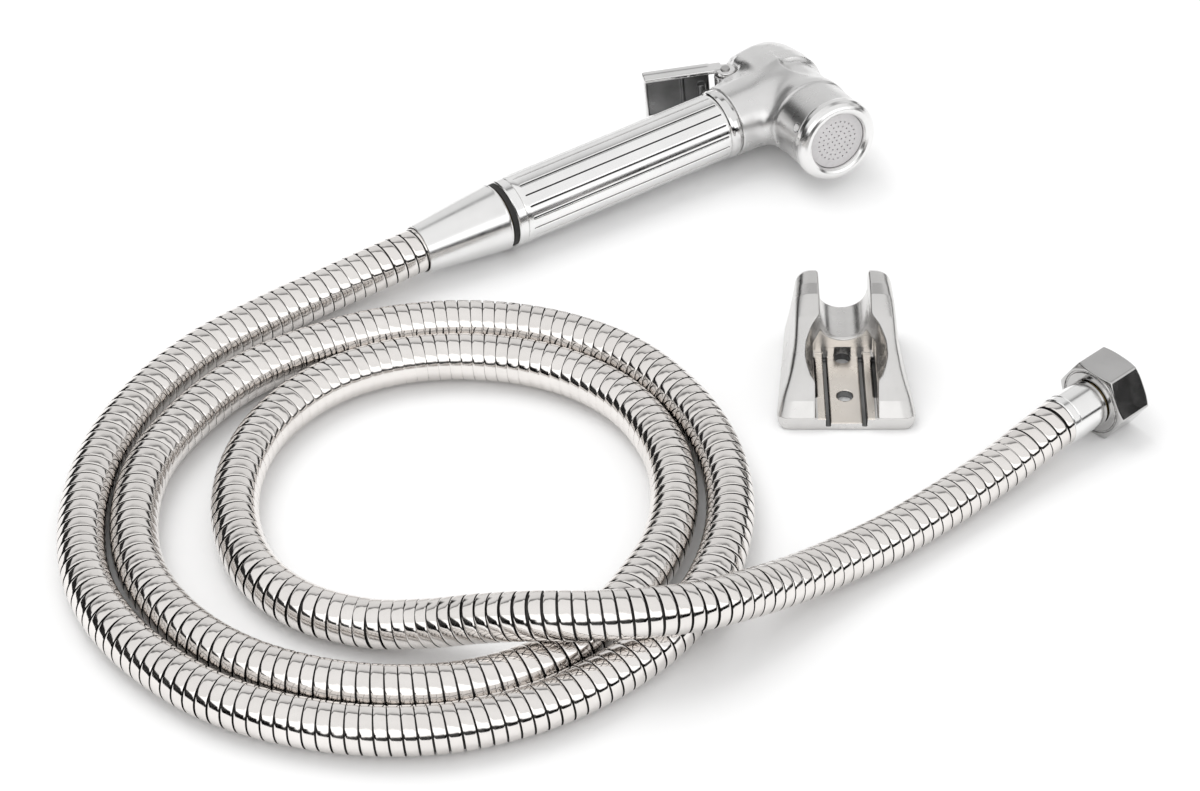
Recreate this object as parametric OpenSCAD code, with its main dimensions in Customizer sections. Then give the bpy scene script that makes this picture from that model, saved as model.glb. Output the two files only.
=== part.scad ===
// Handheld bath sprayer kit: handset, metal hose, end nut and wall holder.
// Millimetres. Z is up. The holder lies on its back with its back face on Z = 0 and
// the middle of that face at the origin. The handset, hose and nut lie on Z = 0.

/* [Hose] */
// Outside diameter of the interlocked metal hose
hose_d = 15.4; // [13:0.1:17]
// Flat sides drawn around the hose
hose_sides = 12; // [8:1:12]

/* [Handle] */
// Length of the fluted grip
grip_len = 83; // [60:1:120]
// Outside diameter of the grip
grip_d = 24; // [20:0.5:30]
// Number of flutes around the grip
flutes = 18; // [12:1:30]
// Length of the tapered hose nut
cone_len = 31; // [24:1:40]
// Small end diameter of the tapered hose nut
cone_d1 = 17; // [16.8:0.1:19]
// Large end diameter of the tapered hose nut
cone_d2 = 23.8; // [23:0.1:26]

/* [Head] */
// Diameter of the neck
neck_d = 26; // [24:0.5:30]
// Diameter of the spray barrel
barrel_d = 28.6; // [26:0.2:32]
// Distance from the handle axis to the spray face
barrel_len = 37.3; // [30:0.1:45]
// Lean of the spray axis back from square to the handle, degrees
barrel_lean = 4; // [0:1:12]
// Diameter of the spray plate
plate_d = 20.7; // [18:0.1:20.8]

/* [Lever] */
// Length of the lever from pivot to free end
lever_len = 29; // [24:1:36]
// Width of the lever
lever_w = 20; // [18:0.5:22]
// Angle between lever and handle at rest, degrees
lever_rest = 25; // [22:1:28]

/* [Valve] */
// Diameter of the valve stem
stem_d = 4; // [3:0.1:5]
// Turns in the valve spring
spring_turns = 5; // [4:1:6]

/* [End nut] */
// Width across flats of the hex nut
hex_af = 24; // [23.5:0.1:27]
// Length of the hex nut
hex_len = 13.5; // [12:0.5:18]
// Diameter of the half inch pipe thread, drawn plain
thread_d = 20.96; // [20.5:0.01:21]

/* [Wall holder] */
// Length of the holder
hold_len = 50; // [44:1:60]
// Width of the holder at its foot
hold_w = 46; // [40:1:56]
// Height of the holder's horns
hold_h = 29; // [26:1:34]
// Width of the slot the hose passes through
slot_w = 16.4; // [16:0.1:18]
// Spacing of the two screw holes
screw_pitch = 19; // [16:1:20]
// Diameter of the screw holes
screw_hole_d = 5.2; // [4:0.1:5.5]

/* [Hidden] */
$fn = 64;

// Handset pose: turn about Z, rise of the handle, roll about the handle.
hs_turn = 32.6;
hs_rise = 1.5;
hs_roll = 7;
// Hex nut pose: turn about Z.
nut_turn = 42;

hose_r = hose_d / 2;
route = [
  [-138, 56.2, 11.5], [-150, 48.7, 10.8], [-168, 38, 9], [-190, 23, 7.9],
  [-210, 6, 7.8], [-226, -15, 7.8], [-236.5, -38, 7.8], [-241.5, -60, 7.8],
  [-242, -82, 7.8], [-238, -104, 7.8], [-228, -124, 7.8], [-213, -141, 7.8],
  [-194, -155, 7.8], [-171, -164, 7.8], [-147, -168, 7.8], [-123, -166.5, 7.8],
  [-100, -159, 7.8], [-80, -147, 7.8], [-63, -131.5, 7.8], [-50, -113, 7.8],
  [-42, -92, 7.8], [-39, -69, 7.8], [-42, -45, 7.8], [-52, -21, 7.8],
  [-70, 1, 7.8], [-93, 14, 7.8], [-119, 19.5, 7.8], [-146, 17.5, 7.8],
  [-171, 8.5, 7.8], [-194, -6, 7.8], [-211, -26, 7.8], [-223, -50, 7.8],
  [-226, -76, 7.8], [-221, -101, 7.8], [-207, -123, 7.8], [-187, -139, 7.8],
  [-162, -148.5, 7.8], [-136, -151, 7.8], [-113, -147, 7.8], [-94, -137, 7.8],
  [-79, -122, 7.8], [-68, -105, 7.8], [-59.5, -86, 7.8], [-56.5, -65, 7.8],
  [-60, -42, 7.8], [-73, -19, 7.8], [-95, -3.5, 7.8], [-122, 2.5, 7.8],
  [-148, -0.5, 7.8], [-170, -12, 7.8], [-186, -31, 7.8], [-194, -54, 7.8],
  [-194, -78, 7.8], [-186, -100, 7.8], [-171, -115, 7.8], [-151, -123, 8.3],
  [-133, -126.5, 11.5], [-116, -131, 18], [-99, -135.5, 23.5], [-82, -137, 25],
  [-65, -135, 24.5], [-49, -129, 21.5], [-34, -119, 17], [-20, -108, 12.5],
  [-5, -96, 9.3], [12, -83, 7.8], [30, -68, 7.8], [47, -53, 8.6],
  [58, -43, 10.6], [67, -35, 12]];
last = len(route) - 1;

// Stations along the handle, from the end of the hose.
cone_x0 = -4;
cone_x1 = cone_x0 + cone_len;
flange_x = 19;
spigot_x = 23;
grip_x0 = 33;
grip_x1 = grip_x0 + grip_len;
neck_x = grip_x1 + 4.5;
stem_x = neck_x + 5;
pivot_x = stem_x + 6.7;
pivot_y = 15.5;
head_x = stem_x + 20.9;
tube_r = 7;
tube_bore = 5;
core_r = 10;
spigot_r = 10.3;
thread_r = thread_d / 2;
nut_x = 15;
chamber_r = 4.2;
face_d = barrel_len;
cavity_r = 11.6;
plate_z = face_d - 3.8;
screw_back = 7.1;
screw_turn = 150;
stem_top = 19.75;
spring_y0 = -9.2;
spring_y1 = -3.9;
spring_wire = 0.3;

function unit(v) = v / norm(v);
function heading(turn, rise) = [cos(rise) * cos(turn), cos(rise) * sin(turn), sin(rise)];
function way(i) = i == 0 ? -heading(hs_turn, hs_rise)
  : i == last ? heading(nut_turn, 0) : unit(route[i + 1] - route[i - 1]);
function side(t) = unit(cross([0, 0, 1], t));
function ring(c, t, r, m) = [for (k = [0:m - 1])
  c + r * (cos(360 * k / m) * side(t) + sin(360 * k / m) * cross(t, side(t)))];
function quads(n, m) = [for (i = [0:n - 2]) for (k = [0:m - 1])
  [i * m + k, (i + 1) * m + k, (i + 1) * m + (k + 1) % m, i * m + (k + 1) % m]];
function lids(n, m) = [[for (k = [0:m - 1]) k], [for (k = [m - 1:-1:0]) (n - 1) * m + k]];

// Puts handset parts, drawn along X from the hose end, into the row frame.
module handset() {
  translate(route[0])
    rotate([0, 0, hs_turn]) rotate([0, -hs_rise, 0]) rotate([-hs_roll, 0, 0]) children();
}
// Puts end nut parts, drawn along X from the hose end, into the row frame.
module tap_end() {
  translate(route[last]) rotate([0, 0, nut_turn]) children();
}
module along_x(x0, x1, r) {
  translate([x0, 0, 0]) rotate([0, 90, 0]) cylinder(r = r, h = x1 - x0);
}
module pipe_x(x0, x1, r, bore) {
  difference() {
    along_x(x0, x1, r);
    along_x(x0 - 1, x1 + 1, bore);
  }
}
module along_y(x, y0, y1, r) {
  translate([x, y0, 0]) rotate([-90, 0, 0]) cylinder(r = r, h = y1 - y0);
}
// Spray axis: Z of the children runs from the handle axis out through the face.
module spray() {
  translate([head_x, 0, 0]) rotate([0, 0, -barrel_lean]) rotate([90, 0, 0]) children();
}
module slab(x0, x1, y0, y1, z) {
  translate([x0, y0, -z]) cube([x1 - x0, y1 - y0, 2 * z]);
}

module hose() {
  color("silver") polyhedron(
    points = [for (i = [0:last]) each ring(route[i], way(i), hose_r, hose_sides)],
    faces = concat(quads(last + 1, hose_sides), lids(last + 1, hose_sides)),
    convexity = 10);
}

module hose_sleeve_a() {
  color("silver") handset() pipe_x(0, 18, 7.6, 5.5);
}
module hose_nipple_a() {
  color("goldenrod") handset() difference() {
    union() {
      along_x(0, flange_x, 5.5);
      along_x(flange_x, flange_x + 2, 9.2);
    }
    along_x(-1, flange_x + 3, 4);
  }
}
module cone_nut() {
  color("silver") handset() difference() {
    translate([cone_x0, 0, 0]) rotate([0, 90, 0])
      cylinder(r1 = cone_d1 / 2, r2 = cone_d2 / 2, h = cone_len);
    along_x(cone_x0 - 1, 18.4, 8);
    along_x(18.3, 21.5, 9.6);
    along_x(21.4, cone_x1 + 1, thread_r);
  }
}
module inlet_washer() {
  color("dimgray") handset() pipe_x(21, spigot_x, 9.2, tube_bore);
}
module inlet_spigot() {
  color("goldenrod") handset() pipe_x(spigot_x, grip_x0, spigot_r, tube_bore);
}
module tail_ring() {
  color("dimgray") handset() pipe_x(27.6, 29.4, 11.2, spigot_r);
}
module tail_collar() {
  color("silver") handset() pipe_x(29.4, grip_x0, grip_d / 2, spigot_r);
}
module water_tube() {
  color("goldenrod") handset() pipe_x(grip_x0, neck_x, tube_r, tube_bore);
}
module grip_core() {
  color("white") handset() pipe_x(grip_x0, grip_x1, core_r, tube_r);
}
module grip_sleeve() {
  color("silver") handset() difference() {
    pipe_x(grip_x0, grip_x1, grip_d / 2, core_r);
    for (k = [0:flutes - 1]) {
      rotate([360 * (k + 0.5) / flutes, 0, 0])
        translate([grip_x0 + 2, -0.35, grip_d / 2 - 0.6]) cube([grip_len - 3, 0.7, 2]);
    }
  }
}
module neck_collar() {
  color("silver") handset() pipe_x(grip_x1, neck_x, 12.6, tube_r);
}

module head_casting() {
  color("silver") handset() difference() {
    union() {
      translate([neck_x, 0, 0]) rotate([0, 90, 0])
        cylinder(r1 = neck_d / 2 - 0.5, r2 = neck_d / 2 + 0.4, h = head_x - 3 - neck_x);
      // lug the lever hinges on, and the block behind it
      translate([0, 0, -8]) linear_extrude(16) polygon([[neck_x, 3], [neck_x, 9.5],
        [pivot_x - 3.5, 13.5], [pivot_x - 2, pivot_y], [pivot_x, 21.6],
        [pivot_x + 6, 21.6], [pivot_x + 6, 3]]);
      translate([pivot_x, pivot_y, -8]) cylinder(r = 4.2, h = 16);
      translate([0, 0, -10]) linear_extrude(20) polygon([[neck_x, 3], [neck_x, 6.5],
        [pivot_x - 4, 11.3], [pivot_x, 11.6], [pivot_x + 5, 11.6], [pivot_x + 5, 3]]);
      translate([pivot_x, 0, -10]) linear_extrude(20) polygon([[4, 3], [4, 19.5],
        [5.6, 21.9], [10, 23], [15, 22], [20, 17], [24, 10], [25, 3]]);
      translate([pivot_x, 0, -12.4]) linear_extrude(24.8) polygon([[5, 3], [5, 17],
        [6.8, 19], [10, 19.8], [14, 19], [18, 15], [20.5, 9], [20.5, 3]]);
      // domed back of the head
      spray() translate([1.6, 0, 0]) rotate_extrude() polygon([[0, -26], [3.5, -25.6], [7, -24.4],
        [10, -22], [12.2, -19], [13.4, -15], [14, -11], [14.3, -7], [14.2, -2], [0, -2]]);
      // fuller outer side of the barrel's root
      spray() translate([2.4, 0, -6]) rotate([0, -4.5, 0]) cylinder(r1 = 12.2, r2 = 13.6, h = 23);
      spray() {
        translate([0, 0, -8]) cylinder(r = barrel_d / 2 - 3.3, h = 18);
        rotate_extrude() translate([barrel_d / 2, 0]) polygon([[-14, 6], [-3.4, 6],
          [-3.4, 8.5], [-2.7, 10], [-1.7, 11.6], [-0.7, 13.4], [-0.2, 15.2], [0, 17],
          [0.4, face_d - 5], [-14, face_d - 5]]);
      }
    }
    along_y(stem_x, spring_y0, 20, chamber_r);
    translate([0, 4, 0]) along_x(neck_x - 1, stem_x, 2.4);
    translate([0, -5, 0]) along_x(stem_x, head_x - 3, 2.2);
    translate([pivot_x, pivot_y, -9]) cylinder(r = 1.5, h = 18);
    spray() {
      translate([0, 0, -1]) cylinder(r = 5, h = 20);
      translate([0, 0, 18]) cylinder(r = cavity_r, h = 30);
      translate([0, 0, face_d - screw_back]) rotate([0, 0, screw_turn]) rotate([0, 90, 0]) {
        cylinder(r = 0.9, h = 20);
        translate([0, 0, 13.4]) cylinder(r = 1.5, h = 3);
      }
    }
  }
}
module flow_disc() {
  color("white") handset() spray() difference() {
    translate([0, 0, 22]) cylinder(r = cavity_r, h = 1.2);
    translate([0, 0, 21]) cylinder(r = 1.2, h = 3);
    for (k = [0:7]) {
      rotate([0, 0, 45 * k]) translate([6, 0, 21]) cylinder(r = 1.2, h = 3);
    }
  }
}
module face_bezel() {
  color("silver") handset() spray() translate([0, 0, face_d]) difference() {
    rotate_extrude() polygon([[7.5, -8.5], [11.55, -8.5], [11.55, -5], [14.9, -5],
      [15.1, -4.2], [15.1, -2.6], [14.7, -1.2], [13.9, -0.2], [12.9, 0.3],
      [11.9, 0.3], [11, -0.2], [10.5, -1.1], [10.5, -5.8], [7.5, -5.8]]);
    translate([0, 0, -screw_back]) rotate([0, 0, screw_turn]) rotate([0, 90, 0])
      cylinder(r = 0.9, h = 20);
  }
}
module plate_seal() {
  color("dimgray") handset() spray() difference() {
    translate([0, 0, plate_z - 2]) cylinder(r = 10.5, h = 2);
    translate([0, 0, plate_z - 3]) cylinder(r = 8, h = 4);
  }
}
module spray_plate() {
  color("lightgray") handset() spray() difference() {
    translate([0, 0, plate_z]) cylinder(r = plate_d / 2, h = 2);
    translate([0, 0, plate_z - 1]) cylinder(r = 0.3, h = 4);
    for (ring_no = [1:4]) {
      for (k = [0:6 * ring_no - 1]) {
        rotate([0, 0, 360 * k / (6 * ring_no)]) translate([1.8 * ring_no, 0, plate_z - 1])
          cylinder(r = 0.3, h = 4, $fn = 16);
      }
    }
  }
}
module bezel_screw() {
  color("silver") handset() spray() translate([0, 0, face_d - screw_back])
    rotate([0, 0, screw_turn]) rotate([0, 90, 0]) {
      translate([0, 0, 10]) cylinder(r = 0.9, h = 3.4);
      translate([0, 0, 13.4]) cylinder(r = 1.4, h = 1.2);
    }
}

module lever() {
  color("silver") handset() translate([pivot_x, pivot_y, 0]) rotate([0, 0, -lever_rest])
    difference() {
      union() {
        slab(-lever_len, -5.6, 3.5, 5.3, lever_w / 2);
        for (s = [-1, 1]) {
          translate([0, 0, s * (lever_w / 2 - 0.8)]) {
            slab(-lever_len, -1, 0, 5.3, 0.8);
            translate([0, 0, -0.8]) cylinder(r = 3.6, h = 1.6);
          }
        }
        translate([-8.6, 2.5, -4]) cylinder(r = 1.5, h = 8);
        slab(-9.2, -8, 2.5, 4, 4);
        slab(-16, -15, 1.8, 4, lever_w / 2 - 1);
      }
      translate([0, 0, -15]) cylinder(r = 1.55, h = 30);
    }
}
module lever_pin() {
  color("dimgray") handset() translate([pivot_x, pivot_y, -10.6]) cylinder(r = 1.5, h = 21.2);
}
module valve_stem() {
  color("goldenrod") handset() {
    along_y(stem_x, 7, stem_top, stem_d / 2);
    along_y(stem_x, spring_y1, 7, 1.2);
    along_y(stem_x, spring_y1, -3.2, 3);
  }
}
module valve_seal() {
  color("dimgray") handset() difference() {
    along_y(stem_x, -3.2, -1.3, 3.4);
    along_y(stem_x, -4, 0, 1.2);
  }
}
module valve_seat() {
  color("goldenrod") handset() difference() {
    along_y(stem_x, -1, 1, chamber_r);
    along_y(stem_x, -2, 2, 2.5);
  }
}
module valve_spring() {
  turns = spring_turns;
  steps = 12 * turns;
  low = spring_y0 + spring_wire;
  high = spring_y1 - spring_wire;
  path = [for (i = [0:steps]) [2.2 * cos(30 * i), 2.2 * sin(30 * i), low + (high - low) * i / steps]];
  tans = [for (i = [0:steps]) [-sin(30 * i), cos(30 * i), (high - low) / turns / (4.4 * PI)]];
  color("gray") handset() translate([stem_x, 0, 0]) rotate([-90, 0, 0]) polyhedron(
    points = [for (i = [0:steps]) each ring(path[i], unit(tans[i]), spring_wire, 8)],
    faces = concat(quads(steps + 1, 8), lids(steps + 1, 8)), convexity = 10);
}
module valve_bonnet() {
  color("goldenrod") handset() difference() {
    along_y(stem_x, 8.5, 15, chamber_r);
    along_y(stem_x, 8, 16, stem_d / 2 + 0.05);
    along_y(stem_x, 8, 10.2, 3.5);
  }
}
module stem_o_ring() {
  color("dimgray") handset() translate([stem_x, 9.35, 0]) rotate([-90, 0, 0])
    rotate_extrude() translate([stem_d / 2 + 0.78, 0]) circle(r = 0.7, $fn = 24);
}

module hose_sleeve_b() {
  color("silver") tap_end() pipe_x(0, 14.5, 8.1, 5.5);
}
module hose_nipple_b() {
  color("goldenrod") tap_end() difference() {
    union() {
      along_x(0, 14.5, 5.5);
      along_x(14.5, 17.4, 6.8);
      along_x(17.4, 19, 9.2);
    }
    along_x(-1, 20, 4);
  }
}
module nut_washer() {
  color("dimgray") tap_end() pipe_x(19, nut_x + 6, 9.2, 5);
}
module hex_nut() {
  color("silver") tap_end() difference() {
    intersection() {
      translate([nut_x, 0, 0]) rotate([0, 90, 0]) rotate([0, 0, 30])
        cylinder(r = hex_af / 2 / cos(30), h = hex_len, $fn = 6);
      translate([nut_x, 0, 0]) rotate([0, 90, 0])
        cylinder(r1 = hex_af / 2, r2 = hex_af / 2 + hex_len * 2, h = hex_len);
      translate([nut_x, 0, 0]) rotate([0, 90, 0])
        cylinder(r1 = hex_af / 2 + hex_len * 2, r2 = hex_af / 2, h = hex_len);
    }
    along_x(14, 18, 7.1);
    along_x(17, 22, 9.9);
    along_x(nut_x + 6, nut_x + hex_len + 1, thread_r);
  }
}

// Holder outline seen from the side, height against length.
hold_side = [[-25, 0], [-25, 5], [-21, 9], [-9, 19], [2, 25.5], [10, hold_h - 0.5],
  [15, hold_h], [21, hold_h], [24, hold_h - 2], [25, hold_h - 6], [25, 0]];
// Seat outline turned about its own axis: radius against distance towards -Y.
seat_side = [[0, -30], [8.2, -30], [8.2, -9], [9.6, -5], [11.6, 0], [12.9, 5], [13.2, 9],
  [12.5, 14], [10.5, 18], [7.5, 21.5], [3, 24], [0, 24]];
module wall_holder() {
  color("silver") difference() {
    intersection() {
      rotate([90, 0, 90]) translate([0, 0, -hold_w / 2]) linear_extrude(hold_w)
        polygon(hold_side);
      hull() {
        translate([-hold_w / 2, -hold_len / 2, 0]) cube([hold_w, 1, 4]);
        translate([-18.5, hold_len / 2 - 1, 0]) cube([37, 1, 2]);
        translate([-18, -hold_len / 2, hold_h - 1]) cube([36, 1, 2]);
        translate([-15, hold_len / 2 - 1, hold_h - 1]) cube([30, 1, 2]);
      }
    }
    // tapered seat for the hose nut, and the slot over it
    translate([0, 0, 19]) rotate([90, 0, 0]) rotate_extrude() polygon(seat_side);
    translate([-slot_w / 2, -30, 19]) cube([slot_w, 60, 20]);
    // open channel with a rail on each side of the screw plate
    translate([-10.2, -30, 4.6]) cube([20.4, 38, 10]);
    translate([-6.6, -30, 3]) cube([13.2, 38, 4]);
    for (s = [-1, 1]) {
      translate([s * 5.9 - 0.7, -30, 1.6]) cube([1.4, 38, 4]);
      translate([s * 10.8 - 1.5, -14, 3]) cube([3, 20, 5.5]);
      translate([0, s * screw_pitch / 2 - 2, -1]) cylinder(r = screw_hole_d / 2, h = 8);
    }
  }
}

hose();
hose_sleeve_a();
hose_nipple_a();
cone_nut();
inlet_washer();
inlet_spigot();
tail_ring();
tail_collar();
water_tube();
grip_core();
grip_sleeve();
neck_collar();
head_casting();
flow_disc();
face_bezel();
plate_seal();
spray_plate();
bezel_screw();
lever();
lever_pin();
valve_stem();
valve_seal();
valve_seat();
valve_spring();
valve_bonnet();
stem_o_ring();
hose_sleeve_b();
hose_nipple_b();
nut_washer();
hex_nut();
wall_holder();
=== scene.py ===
import math

import bmesh
import bpy
import numpy as np
from mathutils import Matrix, Vector


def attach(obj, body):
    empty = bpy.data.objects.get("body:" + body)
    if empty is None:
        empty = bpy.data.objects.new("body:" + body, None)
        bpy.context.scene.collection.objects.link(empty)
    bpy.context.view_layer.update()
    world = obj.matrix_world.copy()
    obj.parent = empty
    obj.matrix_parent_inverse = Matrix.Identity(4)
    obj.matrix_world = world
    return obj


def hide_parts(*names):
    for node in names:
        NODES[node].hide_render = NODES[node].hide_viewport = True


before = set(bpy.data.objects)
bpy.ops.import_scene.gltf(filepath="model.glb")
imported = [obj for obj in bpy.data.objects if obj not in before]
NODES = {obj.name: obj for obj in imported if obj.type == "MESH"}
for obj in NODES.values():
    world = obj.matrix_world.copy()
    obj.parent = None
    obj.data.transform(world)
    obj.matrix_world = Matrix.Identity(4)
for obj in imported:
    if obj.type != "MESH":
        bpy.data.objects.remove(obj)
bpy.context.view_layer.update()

MM = 0.001  # the frame is in metres; the shapes below are in millimetres

# ---------------------------------------------------------------- camera
CAMERA_AT = Vector((-0.080, -0.974, 0.840))
CAMERA_LOOKS_AT = Vector((-0.080, -0.008, 0.0))
CAMERA_LENS = 117.1
camera_data = bpy.data.cameras.new("camera")
camera_data.sensor_fit = "HORIZONTAL"
camera_data.sensor_width = 36.0
camera_data.lens = CAMERA_LENS
camera = bpy.data.objects.new("camera", camera_data)
camera.location = CAMERA_AT
camera.rotation_euler = (CAMERA_LOOKS_AT - CAMERA_AT).to_track_quat("-Z", "Y").to_euler()
bpy.context.scene.collection.objects.link(camera)
bpy.context.scene.camera = camera


# ---------------------------------------------------------------- frames
def move(x, y, z):
    m = np.eye(4)
    m[:3, 3] = (x, y, z)
    return m


def turn(axis, degrees):
    return np.array(Matrix.Rotation(math.radians(degrees), 4, axis))


def place(m, points):
    return points @ m[:3, :3].T + m[:3, 3]


def unplace(m, points):
    return (points - m[:3, 3]) @ m[:3, :3]


# The handset's own frame runs along X from the hose to the head, with the lever on +Y.
HEAD_X = 146.4
FACE = 37.3
PIVOT = (132.2, 15.5)
STEM_X = 125.5
NECK_X = 120.5
SCREW_BACK = 7.1
SCREW_TURN = math.radians(150)
HANDSET = move(-138, 56.2, 11.5) @ turn("Z", 32.6) @ turn("Y", -1.5) @ turn("X", -7)
SPRAY_LOCAL = move(HEAD_X, 0, 0) @ turn("Z", -4) @ turn("X", 90)
SPRAY = HANDSET @ SPRAY_LOCAL
SPRAY_LATHE = SPRAY @ turn("Y", -90)
TAP_END = move(67, -35, 12) @ turn("Z", 42)
LEVER = HANDSET @ move(PIVOT[0], PIVOT[1], 0) @ turn("Z", -25)


# ---------------------------------------------------------------- node helpers
def new_material(name):
    mat = bpy.data.materials.new(name)
    mat.use_nodes = True
    tree = mat.node_tree
    shader = tree.nodes["Principled BSDF"]
    coord = tree.nodes.new("ShaderNodeTexCoord")
    return mat, tree, shader, coord.outputs["Object"]


def noise(tree, vector, scale, detail=3.0, rough=0.5):
    node = tree.nodes.new("ShaderNodeTexNoise")
    node.inputs["Scale"].default_value = scale
    node.inputs["Detail"].default_value = detail
    node.inputs["Roughness"].default_value = rough
    tree.links.new(vector, node.inputs["Vector"])
    return node.outputs["Fac"]


def span(tree, value, low, high, start=0.3, end=0.7):
    node = tree.nodes.new("ShaderNodeMapRange")
    node.inputs["From Min"].default_value = start
    node.inputs["From Max"].default_value = end
    node.inputs["To Min"].default_value = low
    node.inputs["To Max"].default_value = high
    tree.links.new(value, node.inputs["Value"])
    return node.outputs["Result"]


def ramp(tree, value, stops):
    node = tree.nodes.new("ShaderNodeValToRGB")
    elements = node.color_ramp.elements
    while len(elements) < len(stops):
        elements.new(0.5)
    for element, (at, colour) in zip(elements, stops):
        element.position = at
        grey = colour if isinstance(colour, tuple) else (colour, colour, colour)
        element.color = (*grey, 1.0)
    tree.links.new(value, node.inputs["Fac"])
    return node.outputs["Color"]


def bump(tree, shader, height, strength, distance):
    node = tree.nodes.new("ShaderNodeBump")
    node.inputs["Strength"].default_value = strength
    node.inputs["Distance"].default_value = distance
    tree.links.new(height, node.inputs["Height"])
    tree.links.new(node.outputs["Normal"], shader.inputs["Normal"])


def metal(name, dark, light, rough, fine=900.0, coarse=45.0, relief=0.04, ripple=0.00003):
    """Plated or bare metal: cloudy tone, smears in the gloss, a faint polishing texture."""
    mat, tree, shader, vector = new_material(name)
    shader.inputs["Metallic"].default_value = 1.0
    cloud = noise(tree, vector, coarse, 4.0, 0.6)
    tree.links.new(ramp(tree, cloud, [(0.3, dark), (0.7, light)]), shader.inputs["Base Color"])
    smear = noise(tree, vector, coarse * 3.1, 5.0, 0.65)
    tree.links.new(span(tree, smear, rough[0], rough[1]), shader.inputs["Roughness"])
    bump(tree, shader, noise(tree, vector, fine, 2.0), relief, ripple)
    return mat


def soft(name, dark, light, rough, scale=700.0, relief=0.25, ripple=0.0001):
    """Rubber or plastic: mottled tone with a fine moulded grain."""
    mat, tree, shader, vector = new_material(name)
    cloud = noise(tree, vector, scale * 0.1, 4.0, 0.6)
    tree.links.new(ramp(tree, cloud, [(0.3, dark), (0.7, light)]), shader.inputs["Base Color"])
    tree.links.new(span(tree, noise(tree, vector, scale * 0.4), rough[0], rough[1]),
                   shader.inputs["Roughness"])
    shader.inputs["Specular IOR Level"].default_value = 0.4
    bump(tree, shader, noise(tree, vector, scale, 3.0), relief, ripple)
    return mat


CHROME = metal("chrome_polished", (0.72, 0.715, 0.71), (0.80, 0.795, 0.79), (0.05, 0.11))
CHROME_SOFT = metal("chrome_soft", (0.80, 0.795, 0.79), (0.88, 0.875, 0.87), (0.17, 0.25))
CHROME_HEAD = metal("chrome_head", (0.70, 0.695, 0.69), (0.78, 0.775, 0.77), (0.25, 0.33))
CHROME_GRIP = metal("chrome_grip", (0.84, 0.835, 0.83), (0.92, 0.915, 0.91), (0.12, 0.20))
CHROME_NUT = metal("chrome_nut", (0.50, 0.495, 0.49), (0.58, 0.575, 0.57), (0.08, 0.15))
CHROME_HOLDER = metal("chrome_holder", (0.65, 0.64, 0.63), (0.73, 0.72, 0.71), (0.21, 0.29))
HOSE_METAL = metal("chrome_hose", (0.79, 0.76, 0.735), (0.88, 0.85, 0.825), (0.06, 0.13), 1300.0,
                   60.0)
# Painted shade: a near-black stand-in for the shade deep in the hose's groove, the grip's flute
# grooves and the bezel screw's hole.
RECESS_SHADE = metal("hose_groove_shadow", (0.025, 0.024, 0.023), (0.07, 0.068, 0.066), (0.4, 0.6))
# Painted shade: a dark grey standing in for the shade on the lever's inner faces and in the
# holder's line groove, undercut and screw holes.
INSIDE_SHADE = metal("painted_inside_shade", (0.14, 0.14, 0.14), (0.28, 0.28, 0.28), (0.25, 0.40))
PLATE_STRIP = metal("satin_plate", (0.86, 0.80, 0.73), (0.93, 0.875, 0.81), (0.24, 0.34))
STEEL = metal("steel_plain", (0.36, 0.355, 0.35), (0.52, 0.515, 0.51), (0.22, 0.38))
BRASS = metal("brass_bare", (0.62, 0.47, 0.22), (0.74, 0.58, 0.30), (0.24, 0.40))
RUBBER = soft("rubber_black", (0.012, 0.012, 0.012), (0.03, 0.029, 0.028), (0.55, 0.75))
WHITE_PLASTIC = soft("plastic_white", (0.72, 0.72, 0.70), (0.80, 0.80, 0.79), (0.32, 0.48))
SPRAY_GREY = soft("plastic_spray_grey", (0.60, 0.585, 0.59), (0.68, 0.665, 0.67), (0.22, 0.36))


# ---------------------------------------------------------------- mesh helpers
def quad_mesh(name, points, quads, normals=None, sharp=None):
    """A mesh in metres from points in millimetres and an array of quads."""
    mesh = bpy.data.meshes.new(name)
    mesh.vertices.add(len(points))
    mesh.vertices.foreach_set("co", (points * MM).astype(np.float32).ravel())
    mesh.loops.add(quads.size)
    mesh.loops.foreach_set("vertex_index", quads.astype(np.int32).ravel())
    mesh.polygons.add(len(quads))
    mesh.polygons.foreach_set("loop_start", np.arange(0, quads.size, 4, dtype=np.int32))
    mesh.update(calc_edges=True)
    mesh.validate()
    mesh.shade_smooth()
    if sharp is not None:
        mesh.set_sharp_from_angle(angle=math.radians(sharp))
    if normals is not None:
        mesh.normals_split_custom_set_from_vertices(normals.astype(np.float32))
    return mesh


def piece(name, mesh, materials, body, replaces):
    obj = bpy.data.objects.new(name, mesh)
    bpy.context.scene.collection.objects.link(obj)
    for mat in materials:
        mesh.materials.append(mat)
    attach(obj, body)
    if replaces:
        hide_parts(*replaces)
    return obj


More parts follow.
